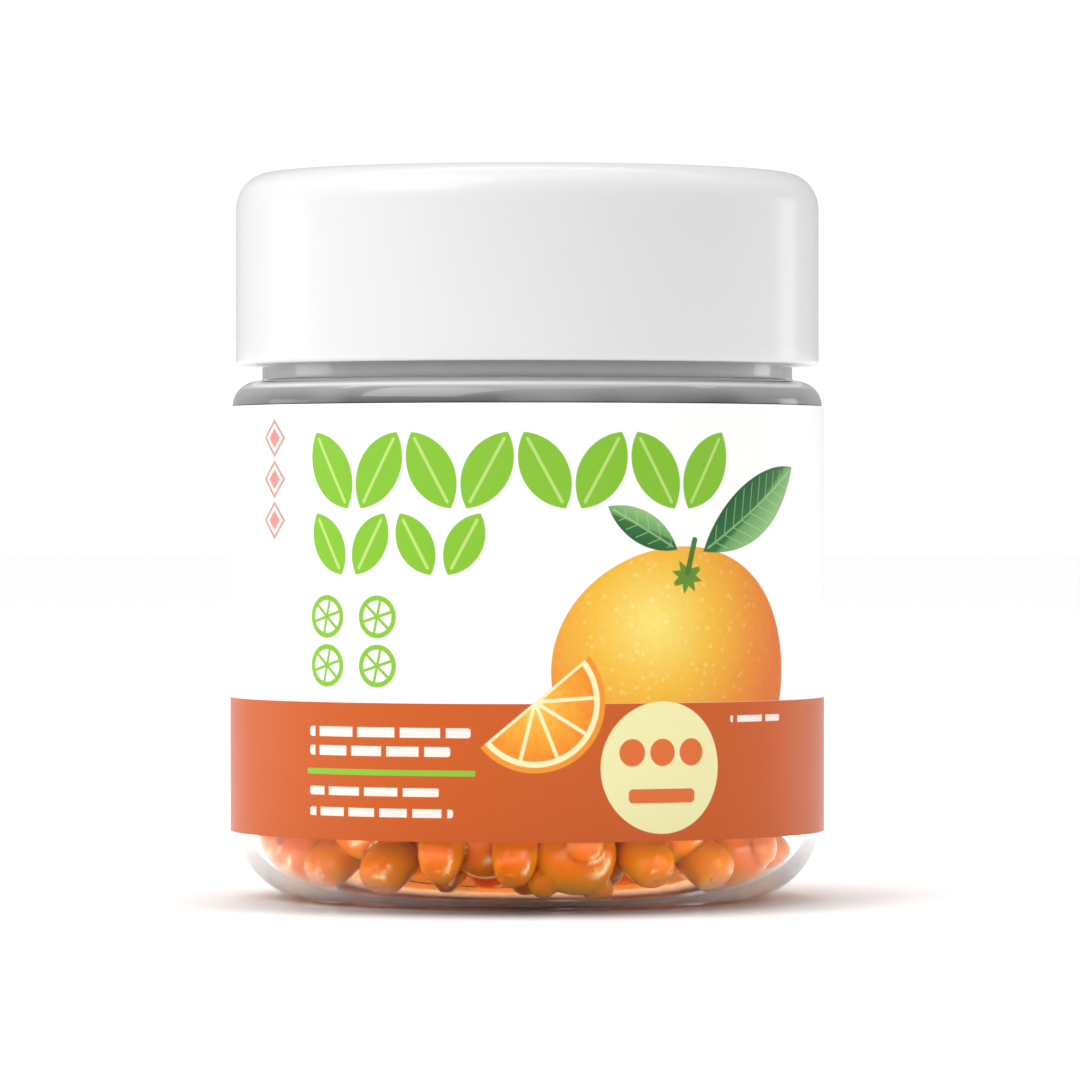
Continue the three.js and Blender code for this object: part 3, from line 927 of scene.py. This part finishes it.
def lobe_grid(lobe, rings=18, sides=28):
    """A closed ball (x + rx sin t cos a, y + ry sin t sin a, z + rz cos t) as vertices and faces."""
    t = np.linspace(0, np.pi, rings + 1)[1:-1, None]
    a = np.linspace(0, 2 * np.pi, sides, endpoint=False)[None]
    ball = np.stack([np.sin(t) * np.cos(a), np.sin(t) * np.sin(a), np.cos(t) + 0 * a], axis=-1)
    ball = np.vstack([ball.reshape(-1, 3), [[0, 0, 1], [0, 0, -1]]])
    count = rings - 1
    row, col = np.meshgrid(np.arange(count - 1), np.arange(sides), indexing="ij")
    here, over = row * sides + col, row * sides + (col + 1) % sides
    quads = np.stack([here, here + sides, over + sides, over], axis=-1).reshape(-1, 4)
    c = np.arange(sides)
    d = (c + 1) % sides
    low = (count - 1) * sides
    tris = np.vstack(
        [
            np.column_stack([np.full(sides, count * sides), c, d]),
            np.column_stack([np.full(sides, count * sides + 1), low + d, low + c]),
        ]
    )
    return ball * np.array(lobe[3:]) + np.array(lobe[:3]), quads, tris


def figure_mesh(voxel):
    """One piece about its own centre, as vertices and quads: balls joined by a voxel remesh, then every
    vertex moved onto the filleted skin by steps of depth times the skin's normal."""
    verts, faces4, faces3, count = [], [], [], 0
    for lobe in LOBES:
        v, quads, tris = lobe_grid(lobe)
        verts.append(v)
        faces4.append(quads + count)
        faces3.append(tris + count)
        count += len(v)
    rough = build_mesh("rough_figure", np.vstack(verts), [np.vstack(faces4), np.vstack(faces3)], [])
    join = rough.modifiers.new("join", "REMESH")
    join.mode = "VOXEL"
    join.voxel_size = voxel * MM
    shown = rough.evaluated_get(bpy.context.evaluated_depsgraph_get())
    mesh = bpy.data.meshes.new_from_object(shown)
    points = np.empty(len(mesh.vertices) * 3)
    mesh.vertices.foreach_get("co", points)
    points = points.reshape(-1, 3) / MM
    corners = np.empty(len(mesh.loops), dtype=np.int64)
    mesh.loops.foreach_get("vertex_index", corners)
    if len(corners) != 4 * len(mesh.polygons):
        raise RuntimeError("the joined figure isn't all quads")
    quads = corners.reshape(-1, 4)
    bpy.data.objects.remove(rough)
    bpy.data.meshes.remove(mesh)
    points[:, 1] = np.minimum(points[:, 1], BACK_Y)
    step = 0.02
    for _ in range(6):
        depth = figure_depth(points)
        slope = np.stack(
            [
                figure_depth(points + step * axis) - figure_depth(points - step * axis)
                for axis in np.eye(3)
            ],
            axis=-1,
        ) / (2 * step)
        size2 = np.maximum((slope**2).sum(axis=1, keepdims=True), 0.25)
        points = points - 0.8 * depth[:, None] * slope / size2
    return points, quads


def held_inside(p):
    """Points kept within the jar's inner skin, pressed softly flat where they would pass it: a share a
    of the way out becomes 1 - s log(1 + exp((1 - a) / s))."""
    room_r, floor, soft = INNER_R - SKIN_GAP, FLOOR_Z + SKIN_GAP, 0.03
    pressed = lambda a: 1 - soft * np.logaddexp(0, (1 - a) / soft)
    away = np.sqrt(p[:, 0] ** 2 + p[:, 1] ** 2)
    out = np.maximum(away - (room_r - INNER_RUN), 0) / INNER_RUN
    down = np.maximum(floor + INNER_RISE - p[:, 2], 0) / INNER_RISE
    over = np.maximum(np.hypot(out, down), 1e-6)
    share = np.where(over > 0.5, pressed(over) / over, 1.0)
    away2 = np.where(out > 0, room_r - INNER_RUN * (1 - out * share), away)
    z2 = np.where(down > 0, floor + INNER_RISE * (1 - down * share), p[:, 2])
    scale = (away2 / np.maximum(away, 1e-6))[:, None]
    return np.column_stack([p[:, :2] * scale, z2])


def figure_tones(p):
    """Two numbers for each point of a piece: how thin the jelly is there, as in the ears and the tips of
    the limbs, where the material paints a glow, and how deep it lies in a crease between two lobes,
    where the material paints shade."""
    depths = np.sort(np.stack([ellipsoid_depth(p, lobe) for lobe in LOBES]), axis=0)
    # the material paints shade where this is high
    fold_shade = np.clip(1 - (depths[1] - depths[0]) / 0.4, 0, 1)
    # thin parts get a painted amber glow in the material, for light through the jelly
    thin = np.clip((p[:, 2] - 9.8) / 2.2, 0, 1)
    for x, _, z, rx, _, rz in (ARM, LEG):
        off = np.hypot((np.abs(p[:, 0]) - x) / rx, (p[:, 2] - z) / rz)
        thin = np.maximum(thin, 0.5 * np.clip((-p[:, 1] - 3.6) / 2.5, 0, 1) * (off < 1.4))
    return thin, fold_shade


def wall_tones(points, normals):
    """Two numbers for each point by how its skin faces the jar's wall: the rim of a lobe, where a glow
    is painted that stands for light seen through thin jelly, and a crescent low on its right side, a
    painted highlight where the light in it gathers."""
    out = unit(points * [1, 1, 0])
    low_right = unit(np.column_stack([-out[:, 1], out[:, 0], np.full(len(out), -0.9)]))
    facing = (normals * out).sum(axis=1)
    # painted glow at a lobe's rim, as seen from outside the jar
    rim = np.clip((0.86 - facing) / 0.45, 0, 1)
    lean = (normals * low_right).sum(axis=1) / np.sqrt(np.maximum(1 - facing**2, 1e-4))
    side = np.clip((lean - 0.72) / 0.2, 0, 1)
    # painted highlight: a pale crescent low on a lobe's right side
    crescent = np.exp(-(((facing - 0.8) / 0.045) ** 2)) * side
    return rim, crescent


def heap_piece(name, voxel, chosen, centres, axes, material):
    """The chosen pieces as one mesh, each slightly different in size, with its tones at each vertex."""
    points, quads = figure_mesh(voxel)
    draw = seeded(SEED + 7)
    thin, fold_shade = figure_tones(points)
    verts, faces, tints = [], [], []
    for k in range(PIECES):
        grow = 0.97 + 0.06 * np.array([next(draw) for _ in range(3)])
        tint = next(draw)
        if k not in chosen:
            continue
        faces.append(quads + len(verts) * len(points))
        verts.append(held_inside(centres[k] + (points * grow) @ axes[k]))
        tints.append(np.full(len(points), tint))
    verts = np.vstack(verts)
    piece = build_mesh(name, verts, [np.vstack(faces)], [material])
    normals = np.empty(len(verts) * 3)
    piece.data.vertex_normals.foreach_get("vector", normals)
    tones = {
        "tint": np.concatenate(tints),
        "thin": np.tile(thin, len(tints)),
        "fold_shade": np.tile(fold_shade, len(tints)),
    }
    tones["rim"], tones["crescent"] = wall_tones(verts, normals.reshape(-1, 3))
    for label, values in tones.items():
        layer = piece.data.attributes.new(label, "FLOAT", "POINT")
        layer.data.foreach_set("value", values.astype(np.float32))
    return piece


def gummy_jelly(finishes):
    """Orange jelly: deep orange in the thick middle of each lobe, with painted shade in the folds, a
    painted amber glow at its rim and where it is thin that stands for light through the jelly, a painted
    highlight where light gathers, random tints and clouds, and a glossy, faintly oily skin."""
    tree = Tree("orange_jelly")
    place = tree.at_object()
    tint, thin, fold_shade = tree.attribute("tint"), tree.attribute("thin"), tree.attribute("fold_shade")
    rim, crescent = tree.attribute("rim"), tree.attribute("crescent")
    cloud = tree.noise(place, 160.0, 2.0)
    skin = tree.noise(place, 700.0, 2.0)
    # painted glow: amber at a lobe's rim and where it is thin, for light through the jelly; the tint and
    # clouds are random tone
    amber = (rim * 0.6 + thin * 0.45 + (tint - 0.5) * 0.4 + (cloud - 0.5) * 0.4).clamped()
    colour = tree.mix(amber, tuple(finishes.gummy_colour), tuple(finishes.gummy_thin_colour))
    # painted shade in the folds between lobes
    colour = tree.mix(fold_shade * 0.75, colour, tuple(finishes.gummy_fold_shade_colour))
    # painted highlight: the pale crescent where light gathers
    colour = tree.mix(crescent, colour, srgb(255, 232, 176))
    return tree.finish(
        Base_Color=colour,
        Roughness=0.06 + 0.05 * skin,
        IOR=1.22,
        Subsurface_Weight=1.0,
        Subsurface_Radius=(1.0, 0.45, 0.08),
        Subsurface_Scale=0.0009,
        Coat_Weight=0.22,
        Coat_Roughness=0.03,
        Normal=tree.bump(skin, 0.05, 0.0003),
    )


# ---------------------------------------------------------------- stage


def floor_finish(finishes):
    """A plain pale, slightly glossy tabletop, in shade near the foot and near the camera's stand. Under
    the jar it holds the light that comes down through the plastic."""
    tree = Tree("pale_floor")
    place = tree.at_object()
    x, y = tree.split(place)[:2]
    grain = tree.noise(place, 300.0, 3.0)
    colour = tuple(finishes.floor_colour)
    away = (x * x + y * y).root()
    off = (away / MM - SHADE_R) / SHADE_SOFT
    front = (-y / away.high(MM)).clamped() ** 2
    under = ((SHADE_R - away / MM) / 5.0).clamped() * (1 - front)
    near = tree.maths("EXPONENT", -(off * off)) * (0.1 + 0.72 * front) * (1 - under) + grain * 0.02
    lit = tree.mix(near, colour, (0.0, 0.0, 0.0))
    stand = ((-y - STAND_SHADE) / 0.08).clamped()
    pool = tree.ramp(
        away / (FOOT_R * MM),
        (0.0, (0.85, 0.25, 0.03)),
        (0.72, (0.8, 0.26, 0.04)),
        (0.84, (0.26, 0.18, 0.12)),
        (0.91, (0.0, 0.0, 0.0)),
    )
    return tree.finish(
        Base_Color=tree.mix(stand, lit, (0.08, 0.08, 0.08)),
        Roughness=0.4 + 0.06 * grain,
        Specular_IOR_Level=0.0,
        Coat_Weight=0.2,
        Coat_Roughness=0.14,
        Emission_Color=pool,
        Emission_Strength=finishes.floor_glow,
    )


def soft_light(name, left, up, distance, size, radiance):
    """A soft box of two side lengths in metres, left and up degrees from the camera's side, facing the
    jar. Its power is pi times its area times the brightness of its face."""
    a, e = math.radians(left), math.radians(up)
    away = Vector((-math.sin(a) * math.cos(e), -math.cos(a) * math.cos(e), math.sin(e)))
    lamp = bpy.data.lights.new(name, "AREA")
    lamp.shape = "RECTANGLE"
    lamp.size, lamp.size_y = size
    lamp.energy = math.pi * size[0] * size[1] * radiance
    box = bpy.data.objects.new(name, lamp)
    box.location = Vector((0, 0, JAR_MIDDLE * MM)) + away * distance
    box.rotation_euler = away.to_track_quat("Z", "Y").to_euler()
    bpy.context.scene.collection.objects.link(box)


def overhead(strength):
    """A very soft light straight down, which reaches all of the floor alike."""
    lamp = bpy.data.lights.new("overhead", "SUN")
    lamp.energy = strength
    lamp.angle = math.radians(50)
    bpy.context.scene.collection.objects.link(bpy.data.objects.new("overhead", lamp))


def photo_camera():
    """The camera at the photo's eye: level with the label's upper part and turned so that the axis falls
    where it does in the picture."""
    data = bpy.data.cameras.new("photo_eye")
    data.sensor_width = SENSOR
    data.lens = SENSOR * EYE_DISTANCE / (PHOTO_SIDE * MM_PER_PIXEL)
    data.clip_start, data.clip_end = 0.01, 50.0
    eye = Vector((0, -EYE_DISTANCE, EYE_HEIGHT)) * MM
    right = (PHOTO_SIDE / 2 - AXIS_PIXEL[0]) * MM_PER_PIXEL
    down = (PHOTO_SIDE / 2 - AXIS_PIXEL[1]) * MM_PER_PIXEL
    aim = Vector((right, 0, EYE_HEIGHT - down)) * MM
    camera = bpy.data.objects.new("photo_eye", data)
    camera.matrix_world = Matrix.LocRotScale(eye, (aim - eye).to_track_quat("-Z", "Y"), None)
    bpy.context.scene.collection.objects.link(camera)
    bpy.context.scene.camera = camera


def studio_air(diffuse, inside, dim, window):
    """The surround: a white backdrop, and a dim room on the camera's side that shows only in what
    shines. Matt skins gather diffuse from it all round, or inside where they do so through the clear
    plastic. Two windows in the dim room glint on what shines inside the jar."""
    tree = Tree("studio_air", "worlds")
    path = tree.node("ShaderNodeLightPath")
    gathered = Num(tree, path.outputs["Diffuse Depth"]).low(1.0)
    crossed = Num(tree, path.outputs["Transmission Depth"])
    through = (crossed - 2).clamped()
    shine = Num(tree, path.outputs["Is Glossy Ray"]) * (1 - crossed.clamped())
    ways = tree.node("ShaderNodeTexCoord").outputs["Generated"]
    back = tree.split(ways)[1]
    backdrop = ((back + 0.25) * 2).clamped()
    plain = (dim + backdrop * (1.05 - dim)) * (1 - shine * 0.55)
    for *way, edge, share in WINDOWS:
        sockets = {0: ways, 1: unit(np.array(way)).tolist()}
        dot = tree.node("ShaderNodeVectorMath", {"operation": "DOT_PRODUCT"}, sockets)
        pane = ((Num(tree, dot.outputs["Value"]) - edge) * 60).clamped()
        plain = plain + pane * through * (window * share)
    around = (through * (inside - diffuse) + diffuse) * (1 + back * FROM_BEHIND)
    strength = plain + gathered * (around - plain)
    air = tree.node("ShaderNodeBackground", None, {"Strength": strength})
    air.inputs["Color"].default_value = (1, 1, 1, 1)
    output = tree.node("ShaderNodeOutputWorld")
    tree.links.new(air.outputs[0], output.inputs["Surface"])
    bpy.context.scene.world = tree.owner


# ---------------------------------------------------------------- add-on


def colour_prop(name, about, default):
    return bpy.props.FloatVectorProperty(
        name=name, description=about, default=default, size=3, min=0.0, max=1.0, subtype="COLOR"
    )


def number_prop(name, about, default, most, least=0.0, **kind):
    return bpy.props.FloatProperty(
        name=name, description=about, default=default, min=least, max=most, **kind
    )


class JarFinishes(bpy.types.PropertyGroup):
    """Colours and finishes that a user would change."""

    jar_tint: colour_prop("Jar Tint", "Colour of the clear plastic", (0.94, 0.945, 0.948))
    cap_colour: colour_prop("Cap", "Colour of the screw cap", (0.765, 0.765, 0.768))
    band_colour: colour_prop("Band", "Lower field of the label", (0.57, 0.095, 0.006))
    gummy_colour: colour_prop("Gummy", "Jelly where it is thick", srgb(226, 110, 3))
    # also the colour of the painted glow at rims and thin parts
    gummy_thin_colour: colour_prop("Thin Gummy", "Jelly where it is thin", srgb(242, 156, 18))
    # the colour of the painted shade in the folds
    gummy_fold_shade_colour: colour_prop("Folds", "Jelly in the folds between its lobes", srgb(176, 56, 4))
    floor_colour: colour_prop("Floor", "Colour of the tabletop", (0.97, 0.97, 0.97))
    floor_glow: number_prop("Floor Glow", "Light on the floor under the clear jar", 2.2, 5.0)


class JarSizes(bpy.types.PropertyGroup):
    """Sizes and lights that a user would change."""

    sides: bpy.props.IntProperty(
        name="Sides", description="Flats round the turned pieces", default=192, min=24, max=512
    )
    voxel: number_prop(
        "Gummy Grain",
        "Mesh grain of the gummies that show",
        0.36 * MM,
        2 * MM,
        0.1 * MM,
        unit="LENGTH",
        subtype="DISTANCE",
    )
    gathered_light: number_prop("Gathered Light", "Even light on matt skins", 0.88, 5.0)
    inside_light: number_prop("Inside Light", "Even light through the clear plastic", 5.6, 20.0)
    window: number_prop("Windows", "Brightness of the windows that glint on the gummies", 55.0, 200.0)
    dim_side: number_prop("Dim Side", "The room behind the camera, in what shines", 0.25, 5.0)


class JarOperator:
    bl_options = {"REGISTER", "UNDO"}

    def execute(self, context):
        self.make(context.scene.jar_finishes, context.scene.jar_sizes)
        return {"FINISHED"}


class JAR_OT_shell(JarOperator, bpy.types.Operator):
    """Make the clear jar"""

    bl_idname = "jar.shell"
    bl_label = "Clear Jar"

    def make(self, finishes, sizes):
        misty = lambda r, z: ((z > SATIN_Z) & (r > SATIN_R)).astype(int)
        both = [clear_plastic(finishes), satin_plastic()]
        dress(turned("clear_jar", jar_profile(), sizes.sides, both, misty), "jar")


class JAR_OT_cap(JarOperator, bpy.types.Operator):
    """Make the white screw cap"""

    bl_idname = "jar.cap"
    bl_label = "Screw Cap"

    def make(self, finishes, sizes):
        dress(turned("screw_cap", cap_profile(), sizes.sides, [cap_plastic(finishes)]), "lid")


class JAR_OT_label(JarOperator, bpy.types.Operator):
    """Make the printed label"""

    bl_idname = "jar.label"
    bl_label = "Label"

    def make(self, finishes, sizes):
        dress(label_piece(finishes), "label")


class JAR_OT_gummies(JarOperator, bpy.types.Operator):
    """Make the heap of gummies, the lower ones finer than those the label hides"""

    bl_idname = "jar.gummies"
    bl_label = "Gummies"

    def make(self, finishes, sizes):
        centres, axes = settled_poses()
        jelly = gummy_jelly(finishes)
        order = np.argsort(centres[:, 2])
        voxel = sizes.voxel / MM
        for name, grain, chosen in (
            ("gummies_low", voxel, order[:6]),
            ("gummies_middle", voxel, order[6:12]),
            ("gummies_high", voxel * HIDDEN_GRAIN, order[12:]),
        ):
            piece = heap_piece(name, grain, set(chosen.tolist()), centres, axes, jelly)
            dress(piece, "gummies")


class JAR_OT_stage(JarOperator, bpy.types.Operator):
    """Make the floor, the lights and the camera"""

    bl_idname = "jar.stage"
    bl_label = "Stage"

    def make(self, finishes, sizes):
        corners = np.array([[-1, -1, 0], [1, -1, 0], [1, 1, 0], [-1, 1, 0]]) * FLOOR_HALF
        floor = build_mesh("floor", corners, [np.array([[0, 1, 2, 3]])], [floor_finish(finishes)])
        for light in LIGHTS:
            soft_light(*light)
        overhead(OVERHEAD)
        studio_air(sizes.gathered_light, sizes.inside_light, sizes.dim_side, sizes.window)
        photo_camera()
        bpy.context.scene.view_settings.view_transform = "Standard"


class JAR_PT_panel(bpy.types.Panel):
    """Lists the jar's pieces and finishes"""

    bl_idname = "JAR_PT_panel"
    bl_label = "Jar of Gummies"
    bl_space_type = "VIEW_3D"
    bl_region_type = "UI"
    bl_category = "Jar"

    def draw(self, context):
        column = self.layout.column()
        for group in (context.scene.jar_finishes, context.scene.jar_sizes):
            for name in type(group).__annotations__:
                column.prop(group, name)
        for operator in OPERATORS:
            column.operator(operator.bl_idname)


OPERATORS = (JAR_OT_stage, JAR_OT_shell, JAR_OT_cap, JAR_OT_label, JAR_OT_gummies)
CLASSES = (JarFinishes, JarSizes, *OPERATORS, JAR_PT_panel)


def register():
    for cls in CLASSES:
        bpy.utils.register_class(cls)
    bpy.types.Scene.jar_finishes = bpy.props.PointerProperty(type=JarFinishes)
    bpy.types.Scene.jar_sizes = bpy.props.PointerProperty(type=JarSizes)


def unregister():
    del bpy.types.Scene.jar_finishes
    del bpy.types.Scene.jar_sizes
    for cls in reversed(CLASSES):
        bpy.utils.unregister_class(cls)


def main():
    register()
    bpy.ops.jar.stage()
    bpy.ops.jar.shell()
    bpy.ops.jar.cap()
    bpy.ops.jar.label()
    bpy.ops.jar.gummies()


if __name__ == "__main__":
    main()
